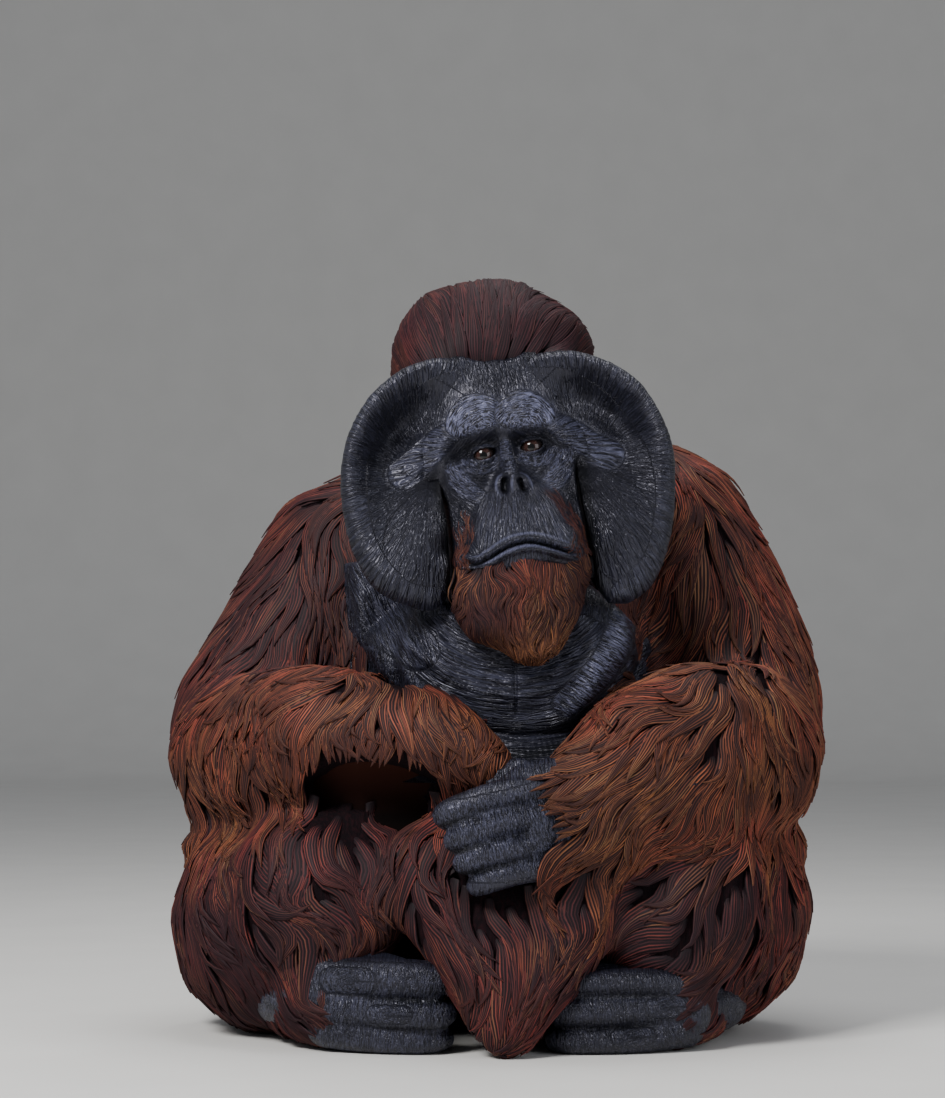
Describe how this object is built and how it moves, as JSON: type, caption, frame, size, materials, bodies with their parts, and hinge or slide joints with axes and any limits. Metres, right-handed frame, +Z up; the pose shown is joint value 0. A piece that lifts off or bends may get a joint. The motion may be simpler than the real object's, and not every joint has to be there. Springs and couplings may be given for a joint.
{
  "type": "seated orangutan statue",
  "caption": "Life-size painted casting of a seated male orangutan with broad cheek flanges and a long sculpted coat, forearms crossed on its knees.",
  "frame": {"origin": "on the flat underside of the rump, at floor level, under the middle of the seat", "axes": "+Z up, the animal looks along -Y, its left side is on +X"},
  "size_m": [0.7986, 0.7393, 0.8917],
  "materials": {
    "bare_skin": "blue-black painted casting, satin, dry-brushed pale on the wrinkles",
    "coat": "red-brown painted hair relief with orange and red strands, satin",
    "dark_coat": "dark purple-brown painted hair relief with red strands, satin",
    "beard": "orange-brown painted hair relief, satin",
    "eye": "glossy brown eye"
  },
  "bodies": {
    "root": {"brow": "bare_skin", "muzzle": "bare_skin", "flange_right": "bare_skin", "flange_left": "bare_skin", "head": "bare_skin", "ear_right": "bare_skin", "ear_left": "bare_skin", "hand_left": "bare_skin", "hand_right": "bare_skin", "thumb_left": "bare_skin", "thumb_right": "bare_skin", "foot_left": "bare_skin", "foot_right": "bare_skin", "big_toe_left": "bare_skin", "big_toe_right": "bare_skin", "throat_sac": "bare_skin", "chest": "bare_skin", "finger_left_1": "bare_skin", "finger_left_2": "bare_skin", "finger_left_3": "bare_skin", "finger_left_4": "bare_skin", "finger_right_1": "bare_skin", "finger_right_2": "bare_skin", "finger_right_3": "bare_skin", "finger_right_4": "bare_skin", "toe_left_1": "bare_skin", "toe_left_2": "bare_skin", "toe_left_3": "bare_skin", "toe_left_4": "bare_skin", "toe_right_1": "bare_skin", "toe_right_2": "bare_skin", "toe_right_3": "bare_skin", "toe_right_4": "bare_skin", "forearm_left": "coat", "forearm_right": "coat", "upper_arm_left": "coat", "upper_arm_right": "coat", "back": "coat", "crown": "dark_coat", "nape": "dark_coat", "neck": "dark_coat", "lap_coat": "dark_coat", "shin_left": "dark_coat", "shin_right": "dark_coat", "thigh_left": "dark_coat", "thigh_right": "dark_coat", "belly": "dark_coat", "rump": "dark_coat", "beard": "beard", "eye_left": "eye", "eye_right": "eye"}
  },
  "joints": []
}
